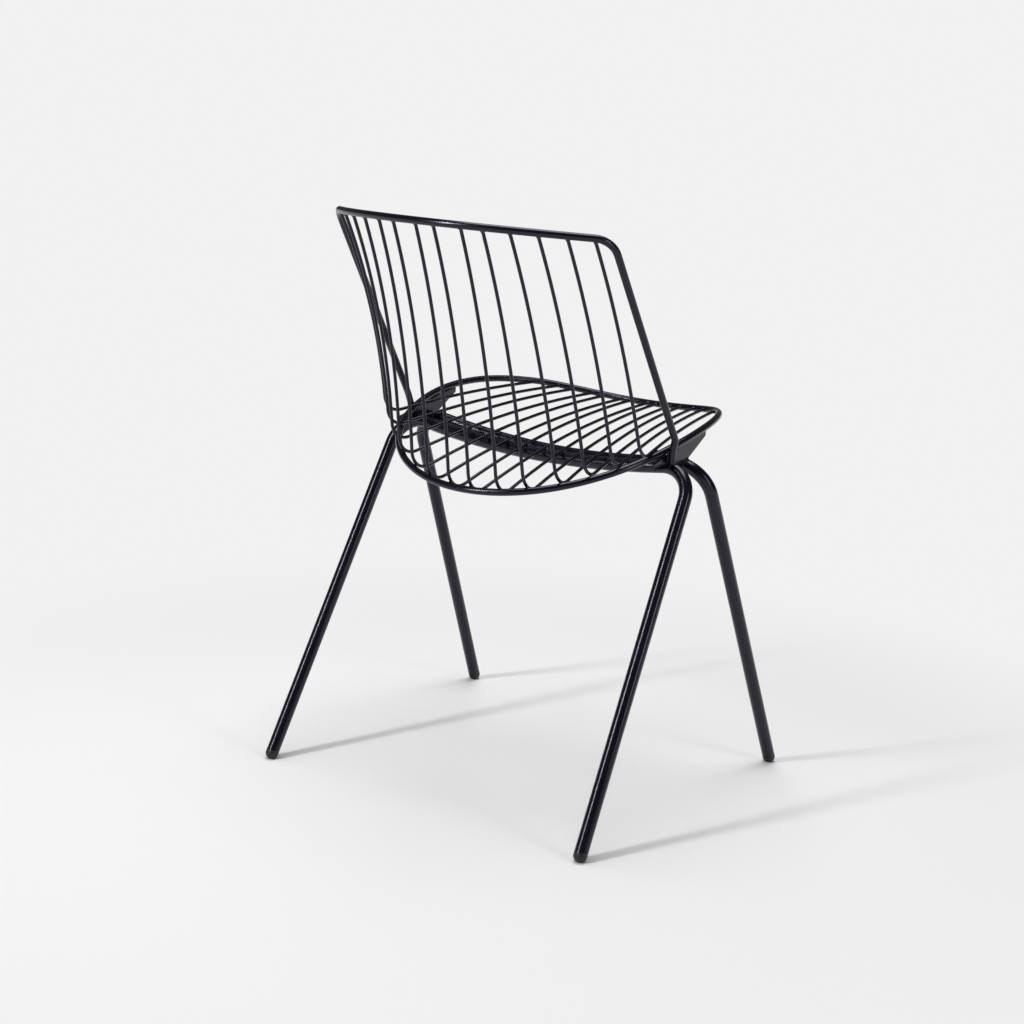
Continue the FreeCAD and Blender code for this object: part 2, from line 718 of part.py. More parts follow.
os.makedirs("parts", exist_ok=True)
for item in doc.Objects:
    if "Invalid" in item.State or "Error" in item.State:
        raise RuntimeError("%s failed: %s" % (item.Label, item.State))
for piece in parts:
    shape = piece.Shape
    if shape.isNull() or not shape.isValid() or len(shape.Solids) != 1:
        raise RuntimeError("%s is not one valid solid" % piece.Label)
for piece in parts:
    piece.Shape.exportStep("parts/%s.step" % piece.Label)
    box = piece.Shape.optimalBoundingBox(False)
    print("%-20s %9.0f mm3  x %.1f %.1f  y %.1f %.1f  z %.1f %.1f" % (
        piece.Label, piece.Shape.Volume, box.XMin, box.XMax, box.YMin, box.YMax, box.ZMin, box.ZMax))
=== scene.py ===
"""Looks of a black wire mesh chair: coated steel tubes, rods and wires, weld beads and nylon glides."""

import math
import random

import bpy
from bpy.props import FloatProperty, PointerProperty, StringProperty
from bpy.types import Operator, Panel, PropertyGroup
from mathutils import Matrix, Vector
from mathutils.bvhtree import BVHTree


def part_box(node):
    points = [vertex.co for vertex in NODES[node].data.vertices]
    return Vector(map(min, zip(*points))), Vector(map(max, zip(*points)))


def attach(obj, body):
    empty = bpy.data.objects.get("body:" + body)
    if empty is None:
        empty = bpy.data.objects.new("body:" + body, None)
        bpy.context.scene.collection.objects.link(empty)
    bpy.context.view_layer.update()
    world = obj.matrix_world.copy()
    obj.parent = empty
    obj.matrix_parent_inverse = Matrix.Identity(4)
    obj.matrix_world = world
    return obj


bl_info = {
    "name": "Wire Mesh Chair",
    "version": (1, 0, 0),
    "blender": (4, 5, 0),
    "location": "3D View > Sidebar > Chair",
    "description": "Coatings, weld beads, glides and studio of a wire mesh chair",
    "category": "Object",
}

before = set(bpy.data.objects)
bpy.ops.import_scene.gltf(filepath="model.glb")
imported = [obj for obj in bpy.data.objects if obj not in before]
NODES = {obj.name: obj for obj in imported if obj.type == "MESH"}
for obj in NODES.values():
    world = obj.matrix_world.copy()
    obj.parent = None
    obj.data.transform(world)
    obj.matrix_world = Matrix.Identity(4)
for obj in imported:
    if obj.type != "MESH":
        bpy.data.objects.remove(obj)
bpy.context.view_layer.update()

TUBES = ["rear_leg_tube", "front_leg_tube"]
PLATES = ["side_plate_left", "side_plate_right"]
RODS = ["seat_hoop", "back_rim"]
WIRES = sorted(name for name in NODES if name.startswith("mesh_wire_"))
GLIDES = sorted(name for name in NODES if name.startswith("glide_"))

MM = 0.001
UP = Vector((0, 0, 1))
FORWARD = Vector((0, -1, 0))

# Powder coat and nylon: wavelengths and depths of their textures, and the shares of the noise used
NOISE_LOW = 0.3
NOISE_HIGH = 0.7
PATCH_SIZE = 60 * MM
PATCH_TONE = 0.14
PATCH_ROUGHNESS = 0.035
GRAIN_SIZE = 0.6 * MM
GRAIN_DEPTH = 0.01 * MM
GRAIN_ROUGHNESS = 0.03
PEEL_DEPTH = 0.03 * MM
COAT_IOR = 1.46
COAT_TINT = "#ECE8FF"
NYLON_GRAIN_SIZE = 0.5 * MM
NYLON_GRAIN_DEPTH = 0.02 * MM
NYLON_ROUGHNESS = (0.42, 0.56)
NYLON_IOR = 1.53

# Welds: how finely they are drawn, how uneven they are and how deep their hidden edges are sunk
WELD_TURNS = 24
FILLET_SWELLS = ((2, 0.12), (5, 0.06))
FILLET_HEIGHT = 1.1
FILLET_HOLLOW = 0.55
PAD_SWELL = 0.08
PAD_WAIST = 0.72
PAD_PROBE = 0.4 * MM
SUNK = 0.12 * MM
PROUD = 0.1 * MM
BEAD_TURNS = 14
BEAD_ROWS_PER_RIPPLE = 6
BEAD_FEWEST_ROWS = 12
BEAD_SWELL = 0.09
BEAD_TIP = 0.02 * MM

# Seams: how near two pieces come where they are welded, and the runs of the short beads
WIRE_CONTACT = 1.2 * MM
TUBE_SEAM_GAP = 0.6 * MM
HOOP_SEAM_GAP = 0.8 * MM
SEAM_POINT_STEP = 0.4 * MM
ON_FACE = 0.05 * MM
STITCH_STARTS = (0.12, 0.45, 0.8)
STITCH_SHARE = 0.14
STITCH_STEPS = 12
STITCH_BEAD = 0.8
ROD_SEAM_LENGTH = 13 * MM
ROD_SEAM_STEPS = 10
ROD_SEAM_DEPTH = 1.2 * MM
ROD_SEAM_OFFSET = 0.35 * MM

# Studio and camera
FLOOR_RADIUS = 60.0
FLOOR_RINGS = 24
FLOOR_TURNS = 64
FLOOR_FADE = (0.3, 1.15)
ROOM_COLOUR = "#F4F4FA"
LIT_POINT = Vector((0, 0, 0.42))
CAMERA_PLACE = (-1.31606, 1.96072, 0.89271)
CAMERA_YAW = 34.4755
CAMERA_PITCH = 13.0159
CAMERA_ROLL = 3.4252
CAMERA_LENS = 64.907
CAMERA_SENSOR = 36.0
CAMERA_REACH = 200.0


class ChairFinish(PropertyGroup):
    frame_colour: StringProperty(
        name="Frame colour", description="Powder coat of the leg tubes and side plates", default="#0B0912")
    rod_colour: StringProperty(
        name="Rod colour", description="Powder coat of the seat hoop and the back rim", default="#0B0912")
    wire_colour: StringProperty(
        name="Wire colour", description="Powder coat of the mesh wires", default="#090710")
    glide_colour: StringProperty(
        name="Glide colour", description="Moulded nylon of the glides", default="#0C0C0D")
    coat_roughness: FloatProperty(
        name="Coat roughness", description="Roughness of the satin powder coat", default=0.19, min=0.0, max=1.0)
    peel_size: FloatProperty(
        name="Orange peel", description="Wavelength of the ripple in the powder coat",
        default=2.2 * MM, subtype="DISTANCE")


class WeldSize(PropertyGroup):
    fillet: FloatProperty(
        name="Wire fillet", description="Width of the weld fillet round a wire's end",
        default=1.25 * MM, subtype="DISTANCE")
    pad: FloatProperty(
        name="Crossing pad", description="Reach of the weld between a wire and the bar that it crosses",
        default=2.5 * MM, subtype="DISTANCE")
    bead: FloatProperty(
        name="Bead radius", description="Radius of the weld beads at the side plates",
        default=1.35 * MM, subtype="DISTANCE")
    ripple: FloatProperty(
        name="Ripple pitch", description="Distance between two ripples of a weld bead",
        default=1.8 * MM, subtype="DISTANCE")


class StudioLight(PropertyGroup):
    background: StringProperty(
        name="Background", description="Colour of the backdrop and the floor", default="#F1F1F1")
    ambient: FloatProperty(
        name="Ambient level", description="Brightness of the room on the object", default=0.1, min=0.0)
    key: FloatProperty(
        name="Key power", description="Power of the strip softbox on the camera's left",
        default=54.0, min=0.0, unit="POWER")
    fill: FloatProperty(
        name="Fill power", description="Power of the softbox on the camera's right",
        default=14.0, min=0.0, unit="POWER")
    top: FloatProperty(
        name="Top power", description="Power of the softbox above the object",
        default=53.0, min=0.0, unit="POWER")


# Materials
def linear(colour, alpha=1.0):
    """Linear RGBA of an sRGB hex colour."""
    channels = []
    for place in (1, 3, 5):
        value = int(colour[place:place + 2], 16) / 255
        channels.append(value / 12.92 if value <= 0.04045 else ((value + 0.055) / 1.055) ** 2.4)
    return (*channels, alpha)


def new_material(name):
    material = bpy.data.materials.new(name)
    material.use_nodes = True
    material.node_tree.nodes.clear()
    return material


def add_node(material, kind, links=(), **settings):
    """Adds a node. A setting is a socket's value, or the node's own property where it has that one."""
    node = material.node_tree.nodes.new(kind)
    for key, value in settings.items():
        if hasattr(node, key):
            setattr(node, key, value)
        else:
            node.inputs[key.replace("_", " ").title() if key not in node.inputs else key].default_value = value
    for source, target in links:
        material.node_tree.links.new(source, node.inputs[target])
    return node


def powder_coat(name, colour, roughness, peel):
    """Satin black powder coat: a deep, faintly violet black with a clear narrow streak from each lamp.
    The baked coat has a shallow orange peel of 2 to 3 mm and fine dust-like grain, which soften the streak."""
    material = new_material(name)
    place = add_node(material, "ShaderNodeTexCoord")
    # orange peel at its real wavelength, in waves per metre
    ripple = add_node(material, "ShaderNodeTexNoise", [(place.outputs["Object"], "Vector")],
                      Scale=1 / peel, Detail=1.0, Roughness=0.4)
    # the real grain is near 0.05 mm, far below a pixel: drawn coarser so that it shows in a close view
    grain = add_node(material, "ShaderNodeTexNoise", [(place.outputs["Object"], "Vector")],
                     Scale=1 / GRAIN_SIZE, Detail=2.0, Roughness=0.6)
    # wide patches where the coat lies a little thicker and glossier
    patches = add_node(material, "ShaderNodeTexNoise", [(place.outputs["Object"], "Vector")],
                       Scale=1 / PATCH_SIZE, Detail=2.0, Roughness=0.5)
    spread = add_node(material, "ShaderNodeMapRange", [(patches.outputs["Fac"], "Value")])
    spread.inputs["From Min"].default_value = NOISE_LOW
    spread.inputs["From Max"].default_value = NOISE_HIGH
    spread.inputs["To Min"].default_value = roughness - PATCH_ROUGHNESS
    spread.inputs["To Max"].default_value = roughness + PATCH_ROUGHNESS
    dusted = add_node(material, "ShaderNodeMath", [(grain.outputs["Fac"], 0)], operation="MULTIPLY")
    dusted.inputs[1].default_value = GRAIN_ROUGHNESS
    rough = add_node(material, "ShaderNodeMath",
                     [(spread.outputs["Result"], 0), (dusted.outputs[0], 1)], operation="ADD")
    dark = linear(colour)
    tone = add_node(material, "ShaderNodeValToRGB", [(patches.outputs["Fac"], "Fac")])
    for stop, position, share in ((0, NOISE_LOW, 1 - PATCH_TONE), (1, NOISE_HIGH, 1 + PATCH_TONE)):
        tone.color_ramp.elements[stop].position = position
        tone.color_ramp.elements[stop].color = tuple(channel * share for channel in dark[:3]) + (1.0,)
    peel_bump = add_node(material, "ShaderNodeBump", [(ripple.outputs["Fac"], "Height")],
                         Strength=0.25, Distance=PEEL_DEPTH)
    grain_bump = add_node(material, "ShaderNodeBump",
                          [(grain.outputs["Fac"], "Height"), (peel_bump.outputs["Normal"], "Normal")],
                          Strength=0.2, Distance=GRAIN_DEPTH)
    shader = add_node(material, "ShaderNodeBsdfPrincipled",
                      [(tone.outputs["Color"], "Base Color"), (rough.outputs[0], "Roughness"),
                       (grain_bump.outputs["Normal"], "Normal")], Metallic=0.0)
    shader.inputs["IOR"].default_value = COAT_IOR
    shader.inputs["Specular Tint"].default_value = linear(COAT_TINT)
    add_node(material, "ShaderNodeOutputMaterial", [(shader.outputs["BSDF"], "Surface")])
    return material


def moulded_nylon(name, colour):
    """Moulded black nylon: duller and greyer than the coated steel, with the fine spark grain of its mould."""
    material = new_material(name)
    place = add_node(material, "ShaderNodeTexCoord")
    # the real spark grain is near 0.1 mm: drawn coarser so that it shows
    grain = add_node(material, "ShaderNodeTexNoise", [(place.outputs["Object"], "Vector")],
                     Scale=1 / NYLON_GRAIN_SIZE, Detail=2.0, Roughness=0.6)
    rough = add_node(material, "ShaderNodeMapRange", [(grain.outputs["Fac"], "Value")])
    rough.inputs["To Min"].default_value = NYLON_ROUGHNESS[0]
    rough.inputs["To Max"].default_value = NYLON_ROUGHNESS[1]
    bump = add_node(material, "ShaderNodeBump", [(grain.outputs["Fac"], "Height")],
                    Strength=0.3, Distance=NYLON_GRAIN_DEPTH)
    shader = add_node(material, "ShaderNodeBsdfPrincipled",
                      [(rough.outputs["Result"], "Roughness"), (bump.outputs["Normal"], "Normal")])
    shader.inputs["Base Color"].default_value = linear(colour)
    shader.inputs["IOR"].default_value = NYLON_IOR
    add_node(material, "ShaderNodeOutputMaterial", [(shader.outputs["BSDF"], "Surface")])
    return material


def coat_nodes(names, material):
    for name in names:
        mesh = NODES[name].data
        mesh.materials.clear()
        mesh.materials.append(material)


def finished(name, make):
    """The material of that name, made once."""
    return bpy.data.materials.get(name) or make(name)


def frame_coat(name="Satin black powder-coated tube"):
    look = bpy.context.scene.chair_finish
    return finished(name, lambda title: powder_coat(
        title, look.frame_colour, look.coat_roughness, look.peel_size))


def rod_coat(name="Satin black powder-coated rod"):
    look = bpy.context.scene.chair_finish
    return finished(name, lambda title: powder_coat(
        title, look.rod_colour, look.coat_roughness, look.peel_size))


def wire_coat(name="Satin black powder-coated wire"):
    look = bpy.context.scene.chair_finish
    return finished(name, lambda title: powder_coat(
        title, look.wire_colour, look.coat_roughness + 0.02, look.peel_size * 0.8))


# Measures taken from the frame
def surface_of(name):
    mesh = NODES[name].data
    return BVHTree.FromPolygons([vertex.co for vertex in mesh.vertices],
                                [face.vertices for face in mesh.polygons])


def points_of(name):
    return [vertex.co for vertex in NODES[name].data.vertices]


def mean_point(points):
    if not points:
        raise RuntimeError("there are no points to average")
    return sum(points, Vector()) / len(points)


def wire_end(name, way):
    """Centre, direction and radius of the square-cut end of a wire that points most along a way."""
    mesh = NODES[name].data
    far = max(vertex.co.dot(way) for vertex in mesh.vertices)

    def slice_middle(nearest, furthest):
        return mean_point([vertex.co for vertex in mesh.vertices
                           if nearest < far - vertex.co.dot(way) < furthest])

    run = (slice_middle(-MM, 4 * MM) - slice_middle(10 * MM, 30 * MM)).normalized()
    facing = 0.9
    cap = [face for face in mesh.polygons
           if far - face.center.dot(way) < 6 * MM and face.normal.dot(run) > facing]
    if not cap:
        raise RuntimeError("%s has no end that faces %s" % (name, tuple(way)))
    total = sum(face.area for face in cap)
    centre = sum((face.center * face.area for face in cap), Vector()) / total
    normal = sum((face.normal * face.area for face in cap), Vector()).normalized()
    edge = {index for face in cap for index in face.vertices}
    return centre, normal, max((mesh.vertices[index].co - centre).length for index in edge)


def nearest_contact(points, surface, reach):
    """Point of a node that comes nearest to a surface, with the surface's point and their distance."""
    best = None
    for point in points:
        spot, _, _, distance = surface.find_nearest(point, reach)
        if spot is not None and (best is None or distance < best[2]):
            best = (point, spot, distance)
    return best


def across(way):
    """Two directions square to a way and to each other."""
    steep = 0.8
    side = way.cross(UP if abs(way.z) < steep else FORWARD).normalized()
    return side, way.cross(side).normalized()


def ring_skin(rings, points, faces):
    """Joins equal rings of points with four-sided faces."""
    base = len(points)
    count = len(rings[0])
    for ring in rings:
        points.extend(ring)
    for row in range(len(rings) - 1):
        for step in range(count):
            one = base + row * count + step
            two = base + row * count + (step + 1) % count
            faces.append((one, two, two + count, one + count))


def mesh_piece(name, points, faces, material):
    mesh = bpy.data.meshes.new(name)
    mesh.from_pydata([tuple(point) for point in points], [], faces)
    mesh.validate()
    mesh.shade_smooth()
    mesh.materials.append(material)
    piece = bpy.data.objects.new(name, mesh)
    bpy.context.scene.collection.objects.link(piece)
    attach(piece, "root")
    return piece


def butt_weld(centre, way, wire_radius, rod, fillet, chance, points, faces):
    """Fillet between the end of a wire and the rod that it stands on."""
    side, other = across(way)
    rings = [[], [], [], [], []]
    lump = chance.uniform(0, math.tau)
    for step in range(WELD_TURNS):
        angle = math.tau * step / WELD_TURNS
        out = side * math.cos(angle) + other * math.sin(angle)
        swell = 1 + sum(height * math.sin(waves * angle + turn * lump)
                        for turn, (waves, height) in enumerate(FILLET_SWELLS, 1))
        width = fillet * swell
        top = centre - way * width * FILLET_HEIGHT + out * wire_radius
        foot, normal, _, _ = rod.find_nearest(centre + out * (wire_radius + width) + way * MM)
        low = foot + normal * 0.02 * MM
        corner = centre + out * wire_radius
        rings[0].append(top - out * PROUD - way * 0.15 * MM)
        rings[1].append(top + out * SUNK + way * PROUD)
        rings[2].append((top + low + corner * FILLET_HOLLOW) / (2 + FILLET_HOLLOW) + out * SUNK)
        rings[3].append(low + (corner - low) * 0.18)
        rings[4].append(low - normal * 0.15 * MM + out * PROUD)
    ring_skin(rings, points, faces)


def crossing_weld(contact, bar, wire, pad, chance, points, faces):
    """Waisted pad of squeezed metal where a wire lies across a bar."""
    on_wire, on_bar, _ = contact
    middle = (on_wire + on_bar) / 2
    way = (on_wire - on_bar).normalized()
    side, other = across(way)
    rings = [[], [], [], [], []]
    lump = chance.uniform(0, math.tau)
    for step in range(WELD_TURNS):
        angle = math.tau * step / WELD_TURNS
        out = side * math.cos(angle) + other * math.sin(angle)
        width = pad * (1 + PAD_SWELL * math.sin(3 * angle + lump))
        high, high_normal, _, _ = wire.find_nearest(middle + out * width + way * PAD_PROBE)
        low, low_normal, _, _ = bar.find_nearest(middle + out * width - way * PAD_PROBE)
        waist = middle + out * width * PAD_WAIST
        rings[0].append(high - high_normal * SUNK)
        rings[1].append(high + high_normal * PROUD + (waist - high) * 0.15)
        rings[2].append((high + low + waist) / 3)
        rings[3].append(low + low_normal * PROUD + (waist - low) * 0.15)
        rings[4].append(low - low_normal * SUNK)
    ring_skin(rings, points, faces)


def seam_bead(path, radius, pitch, chance, points, faces):
    """Rippled bead of weld metal along a path of points, with rounded ends."""
    lengths = [0.0]
    for first, last in zip(path, path[1:]):
        lengths.append(lengths[-1] + (last - first).length)
    whole = lengths[-1]
    count = max(BEAD_FEWEST_ROWS, int(whole / (pitch / BEAD_ROWS_PER_RIPPLE)))
    phase = chance.uniform(0, math.tau)
    rings = []
    row = 0
    for step in range(count + 1):
        along = whole * step / count
        while row < len(path) - 2 and lengths[row + 1] < along:
            row += 1
        first, last = path[row], path[row + 1]
        share = (along - lengths[row]) / max(lengths[row + 1] - lengths[row], 1e-9)
        centre = first + (last - first) * share
        way = (last - first).normalized()
        side, other = across(way)
        end = min(along, whole - along) / radius
        cap = math.sqrt(max(0.0, 1 - (1 - min(end, 1.0)) ** 2))
        swell = cap * radius * (1 + BEAD_SWELL * math.sin(math.tau * along / pitch + phase))
        swell = max(swell, BEAD_TIP)
        angles = [math.tau * turn / BEAD_TURNS for turn in range(BEAD_TURNS)]
        rings.append([centre + (side * math.cos(angle) + other * math.sin(angle)) * swell
                      for angle in angles])
    ring_skin(rings, points, faces)


class CHAIR_OT_frame_coating(Operator):
    """Powder coats the two leg tubes and the two side plates"""
    bl_idname = "chair.frame_coating"
    bl_label = "Coat Tubes and Plates"

    def execute(self, context):
        coat_nodes(TUBES + PLATES, frame_coat())
        return {"FINISHED"}


class CHAIR_OT_rod_coating(Operator):
    """Powder coats the seat hoop and the back rim"""
    bl_idname = "chair.rod_coating"
    bl_label = "Coat Rods"

    def execute(self, context):
        coat_nodes(RODS, rod_coat())
        return {"FINISHED"}


class CHAIR_OT_wire_coating(Operator):
    """Powder coats the fourteen mesh wires"""
    bl_idname = "chair.wire_coating"
    bl_label = "Coat Wires"

    def execute(self, context):
        coat_nodes(WIRES, wire_coat())
        return {"FINISHED"}


class CHAIR_OT_glides(Operator):
    """Gives the four glides their moulded nylon"""
    bl_idname = "chair.glides"
    bl_label = "Finish Glides"

    def execute(self, context):
        look = context.scene.chair_finish
        coat_nodes(GLIDES, moulded_nylon("Moulded black nylon", look.glide_colour))
        return {"FINISHED"}


class CHAIR_OT_wire_end_welds(Operator):
    """Adds the weld fillets where the wires end on the rim and on the front of the hoop"""
    bl_idname = "chair.wire_end_welds"
    bl_label = "Weld Wire Ends"

    def execute(self, context):
        fillet = context.scene.chair_weld.fillet
        chance = random.Random(11)
        for title, rod_name, way in (("rim_wire_welds", "back_rim", UP),
                                     ("front_wire_welds", "seat_hoop", FORWARD)):
            rod = surface_of(rod_name)
            points = []
            faces = []
            for name in WIRES:
                centre, end_way, radius = wire_end(name, way)
                butt_weld(centre, end_way, radius, rod, fillet, chance, points, faces)
            mesh_piece(title, points, faces, rod_coat())
        return {"FINISHED"}


class CHAIR_OT_crossing_welds(Operator):
    """Adds the welds where the wires lie on the rear of the hoop and on the rear tube"""
    bl_idname = "chair.crossing_welds"
    bl_label = "Weld Wire Crossings"

    def execute(self, context):
        pad = context.scene.chair_weld.pad
        chance = random.Random(23)
        for title, bar_name, coat, slot in (
                ("hoop_wire_welds", "seat_hoop", rod_coat(), "rod_coating"),
                ("tube_wire_welds", "rear_leg_tube", frame_coat(), "frame_coating")):
            bar = surface_of(bar_name)
            points = []
            faces = []
            for name in WIRES:
                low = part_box(name)[0]
                near = [point for point in points_of(name)
                        if point.y > low.y + 100 * MM and point.z < low.z + 90 * MM]
                contact = nearest_contact(near, bar, WIRE_CONTACT)
                if contact is not None:
                    crossing_weld(contact, bar, surface_of(name), pad, chance, points, faces)
            if not points:
                raise RuntimeError("no wire touches %s" % bar_name)
            mesh_piece(title, points, faces, coat)
        return {"FINISHED"}


def seam_path(points, surface, reach):
    """Points of a plate's edge that lie within reach of a surface, in order from front to back."""
    kept = []
    for point in points:
        spot = surface.find_nearest(point, reach)[0]
        if spot is not None:
            kept.append((point + spot) / 2)
    kept.sort(key=lambda point: point.y)
    thinned = []
    for point in kept:
        if not thinned or (point - thinned[-1]).length > SEAM_POINT_STEP:
            thinned.append(point)
    return thinned


class CHAIR_OT_plate_welds(Operator):
    """Adds the weld beads between the side plates and the tubes, the hoop and the rim's ends"""
    bl_idname = "chair.plate_welds"
    bl_label = "Weld Side Plates"

    def execute(self, context):
        weld = context.scene.chair_weld
        chance = random.Random(37)
        tube_points, tube_faces = [], []
        hoop_points, hoop_faces = [], []
        rod_points, rod_faces = [], []
        hoop = surface_of("seat_hoop")
        for plate, sign in (("side_plate_left", 1), ("side_plate_right", -1)):
            corners = points_of(plate)
            low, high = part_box(plate)
            for face_x in (low.x, high.x):
                edge = [point for point in corners if abs(point.x - face_x) < ON_FACE]
                for tube in TUBES:
                    path = seam_path(edge, surface_of(tube), TUBE_SEAM_GAP)
                    if len(path) > 2:
                        seam_bead(path, weld.bead, weld.ripple, chance, tube_points, tube_faces)
                top = seam_path(edge, hoop, HOOP_SEAM_GAP)
                if len(top) > 1:
                    stitch_run(top, weld, chance, hoop_points, hoop_faces)
            rod_end_seams(plate, sign, weld, chance, rod_points, rod_faces)
        mesh_piece("plate_tube_welds", tube_points, tube_faces, frame_coat())
        if hoop_points:
            mesh_piece("plate_hoop_welds", hoop_points, hoop_faces, frame_coat())
        mesh_piece("rim_end_welds", rod_points, rod_faces, rod_coat())
        return {"FINISHED"}


def stitch_run(path, weld, chance, points, faces):
    """Three short beads spread along a seam."""
    first, last = path[0], path[-1]
    for share in STITCH_STARTS:
        run = []
        for step in range(STITCH_STEPS + 1):
            part = share + STITCH_SHARE * step / STITCH_STEPS
            target = first.y + (last.y - first.y) * part
            near = min(path, key=lambda point: abs(point.y - target))
            below = max((point for point in path if point.y <= target), key=lambda point: point.y,
                        default=near)
            above = min((point for point in path if point.y > target), key=lambda point: point.y,
                        default=near)
            gap = above.y - below.y
            blend = (target - below.y) / gap if gap > 1e-9 else 0.0
            run.append(below + (above - below) * blend)
        seam_bead(run, weld.bead * STITCH_BEAD, weld.ripple, chance, points, faces)


def rod_end_seams(plate, sign, weld, chance, points, faces):
    """Beads on both sides of the rim's straight end, where it lies against the plate."""
    low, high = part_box(plate)
    outer = high.x if sign > 0 else low.x
    rim = [point for point in points_of("back_rim") if point.x * sign > 0]
    bottom = min(point.z for point in rim)
    end = [point for point in rim if point.z < bottom + 0.5 * MM]
    centre_y = (min(point.y for point in end) + max(point.y for point in end)) / 2
    radius = (max(point.y for point in end) - min(point.y for point in end)) / 2
    height = min(high.z - bottom, ROD_SEAM_LENGTH)
    reach = radius * math.sqrt(1 - (1 - ROD_SEAM_DEPTH / radius) ** 2)
    for side in (-1, 1):
        y = centre_y + side * reach
        path = [Vector((outer + sign * ROD_SEAM_OFFSET, y, bottom + MM + height * step / ROD_SEAM_STEPS))
                for step in range(ROD_SEAM_STEPS + 1)]
        seam_bead(path, weld.bead, weld.ripple, chance, points, faces)


# Stage
def aim(piece, target):
    piece.rotation_euler = (target - piece.location).to_track_quat("-Z", "Y").to_euler()


def softbox(name, place, target, width, height, power):
    lamp = bpy.data.lights.new(name, "AREA")
    lamp.shape = "RECTANGLE"
    lamp.size = width
    lamp.size_y = height
    lamp.energy = power
    piece = bpy.data.objects.new(name, lamp)
    piece.location = place
    aim(piece, target)
    bpy.context.scene.collection.objects.link(piece)


def pale_floor(colour):
    """Matt white studio floor that catches the shadow and turns into the plain background far away."""
    material = new_material("Matt white studio floor")
    place = add_node(material, "ShaderNodeTexCoord")
    far = add_node(material, "ShaderNodeVectorMath", [(place.outputs["Object"], 0)], operation="LENGTH")
    fade = add_node(material, "ShaderNodeMapRange", [(far.outputs["Value"], "Value")])
    fade.interpolation_type = "SMOOTHSTEP"
    fade.inputs["From Min"].default_value = FLOOR_FADE[0]
    fade.inputs["From Max"].default_value = FLOOR_FADE[1]
    seen = add_node(material, "ShaderNodeLightPath")
    direct = add_node(material, "ShaderNodeMath",
                      [(seen.outputs["Is Camera Ray"], 0), (seen.outputs["Is Glossy Ray"], 1)],
                      operation="MAXIMUM")
    clear = add_node(material, "ShaderNodeMath",
                     [(direct.outputs[0], 0), (seen.outputs["Is Transmission Ray"], 1)],
                     operation="MAXIMUM")
    share = add_node(material, "ShaderNodeMath",
                     [(fade.outputs["Result"], 0), (clear.outputs[0], 1)], operation="MULTIPLY")
    matt = add_node(material, "ShaderNodeBsdfDiffuse")
    matt.inputs["Color"].default_value = linear(colour)
    plain = add_node(material, "ShaderNodeEmission")
    plain.inputs["Color"].default_value = linear(colour)
    plain.inputs["Strength"].default_value = 1.0
    mixed = add_node(material, "ShaderNodeMixShader",
                     [(share.outputs[0], "Fac"), (matt.outputs["BSDF"], 1), (plain.outputs["Emission"], 2)])
    add_node(material, "ShaderNodeOutputMaterial", [(mixed.outputs["Shader"], "Surface")])
    return material


def room(colour, level):
    """World that the camera sees as the plain background, and that lights the object evenly."""
    world = bpy.data.worlds.new("Studio room")
    bpy.context.scene.world = world
    world.use_nodes = True
    world.node_tree.nodes.clear()
    seen = add_node(world, "ShaderNodeLightPath")
    direct = add_node(world, "ShaderNodeMath",
                      [(seen.outputs["Is Camera Ray"], 0), (seen.outputs["Is Transmission Ray"], 1)],
                      operation="MAXIMUM")
    lit = add_node(world, "ShaderNodeBackground")
    lit.inputs["Color"].default_value = linear(ROOM_COLOUR)
    lit.inputs["Strength"].default_value = level
    plain = add_node(world, "ShaderNodeBackground")
    plain.inputs["Color"].default_value = linear(colour)
    plain.inputs["Strength"].default_value = 1.0
    mixed = add_node(world, "ShaderNodeMixShader",
                     [(direct.outputs[0], "Fac"), (lit.outputs["Background"], 1),
                      (plain.outputs["Background"], 2)])
    add_node(world, "ShaderNodeOutputWorld", [(mixed.outputs["Shader"], "Surface")])


def floor_disc(radius, rings, turns):
    """Flat round floor whose rings widen outwards."""
    points = [Vector((0, 0, 0))]
    faces = []
    for ring in range(1, rings + 1):
        reach = radius * (ring / rings) ** 2
        for turn in range(turns):
            angle = math.tau * turn / turns
            points.append(Vector((reach * math.cos(angle), reach * math.sin(angle), 0)))
    for turn in range(turns):
        faces.append((0, 1 + turn, 1 + (turn + 1) % turns))
    for ring in range(rings - 1):
        base = 1 + ring * turns
        for turn in range(turns):
            ahead = (turn + 1) % turns
            faces.append((base + turn, base + turns + turn, base + turns + ahead, base + ahead))
    return points, faces


def photo_camera():
    """Camera behind the chair on its right, a little above the rim."""
    yaw, pitch, roll = (math.radians(turn) for turn in (CAMERA_YAW, CAMERA_PITCH, CAMERA_ROLL))
    ahead = Vector((math.sin(yaw) * math.cos(pitch), -math.cos(yaw) * math.cos(pitch), -math.sin(pitch)))
    level = ahead.cross(UP).normalized()
    above = level.cross(ahead)
    right = level * math.cos(roll) + above * math.sin(roll)
    top = above * math.cos(roll) - level * math.sin(roll)
    data = bpy.data.cameras.new("photo_camera")
    data.sensor_width = CAMERA_SENSOR
    data.lens = CAMERA_LENS
    data.clip_end = CAMERA_REACH
    camera = bpy.data.objects.new("photo_camera", data)
    camera.matrix_world = Matrix.Translation(CAMERA_PLACE) @ Matrix(
        (right, top, -ahead)).transposed().to_4x4()
    bpy.context.scene.collection.objects.link(camera)
    bpy.context.scene.camera = camera


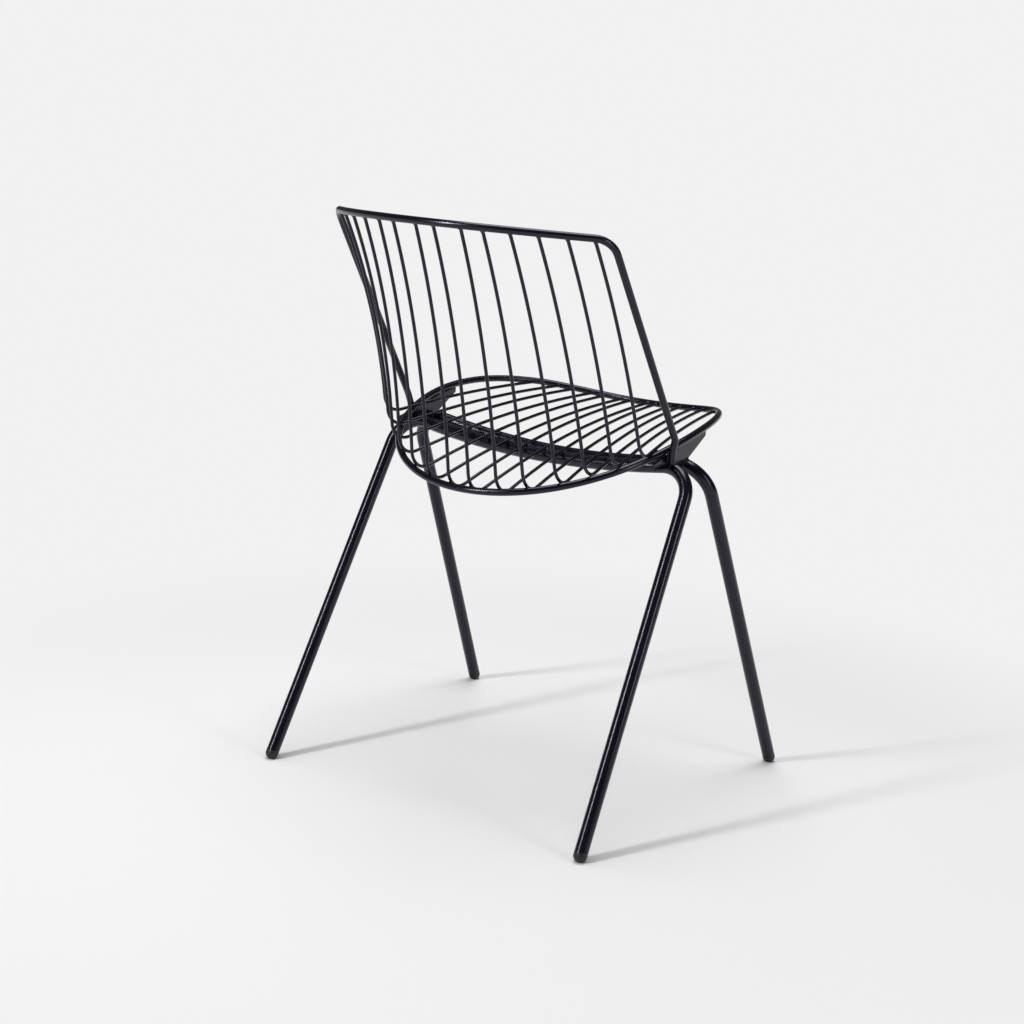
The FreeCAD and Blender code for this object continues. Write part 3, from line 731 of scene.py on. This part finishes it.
class CHAIR_OT_studio(Operator):
    """Sets up the pale floor, the plain background, the softboxes and the camera"""
    bl_idname = "chair.studio"
    bl_label = "Set Up Studio"

    def execute(self, context):
        studio = context.scene.chair_studio
        points, faces = floor_disc(FLOOR_RADIUS, FLOOR_RINGS, FLOOR_TURNS)
        mesh = bpy.data.meshes.new("studio_floor")
        mesh.from_pydata([tuple(point) for point in points], [], faces)
        mesh.materials.append(pale_floor(studio.background))
        floor = bpy.data.objects.new("studio_floor", mesh)
        context.scene.collection.objects.link(floor)
        room(studio.background, studio.ambient)
        for name, place, width, height, power in (
                ("key_softbox", (1.1, 2.6, 2.0), 0.16, 1.5, studio.key),
                ("fill_softbox", (-2.9, 0.2, 1.3), 0.5, 1.4, studio.fill),
                ("top_softbox", (0.1, -0.3, 2.7), 1.8, 1.8, studio.top)):
            softbox(name, Vector(place), LIT_POINT, width, height, power)
        context.scene.view_settings.view_transform = "Standard"
        photo_camera()
        return {"FINISHED"}


OPERATORS = (CHAIR_OT_frame_coating, CHAIR_OT_rod_coating, CHAIR_OT_wire_coating, CHAIR_OT_glides,
             CHAIR_OT_wire_end_welds, CHAIR_OT_crossing_welds, CHAIR_OT_plate_welds, CHAIR_OT_studio)


class CHAIR_PT_sidebar(Panel):
    """Lists the chair's finishes, welds and studio"""
    bl_idname = "CHAIR_PT_sidebar"
    bl_label = "Wire Mesh Chair"
    bl_space_type = "VIEW_3D"
    bl_region_type = "UI"
    bl_category = "Chair"

    def draw(self, context):
        layout = self.layout
        for group in (context.scene.chair_finish, context.scene.chair_weld, context.scene.chair_studio):
            box = layout.box()
            for key in group.bl_rna.properties.keys():
                if key not in ("rna_type", "name"):
                    box.prop(group, key)
        for operator in OPERATORS:
            layout.operator(operator.bl_idname)


CLASSES = (ChairFinish, WeldSize, StudioLight, *OPERATORS, CHAIR_PT_sidebar)


def register():
    for item in CLASSES:
        bpy.utils.register_class(item)
    bpy.types.Scene.chair_finish = PointerProperty(type=ChairFinish)
    bpy.types.Scene.chair_weld = PointerProperty(type=WeldSize)
    bpy.types.Scene.chair_studio = PointerProperty(type=StudioLight)


def unregister():
    del bpy.types.Scene.chair_studio
    del bpy.types.Scene.chair_weld
    del bpy.types.Scene.chair_finish
    for item in reversed(CLASSES):
        bpy.utils.unregister_class(item)


def main():
    register()
    bpy.ops.chair.frame_coating()
    bpy.ops.chair.rod_coating()
    bpy.ops.chair.wire_coating()
    bpy.ops.chair.glides()
    bpy.ops.chair.wire_end_welds()
    bpy.ops.chair.crossing_welds()
    bpy.ops.chair.plate_welds()
    bpy.ops.chair.studio()


if __name__ == "__main__":
    main()
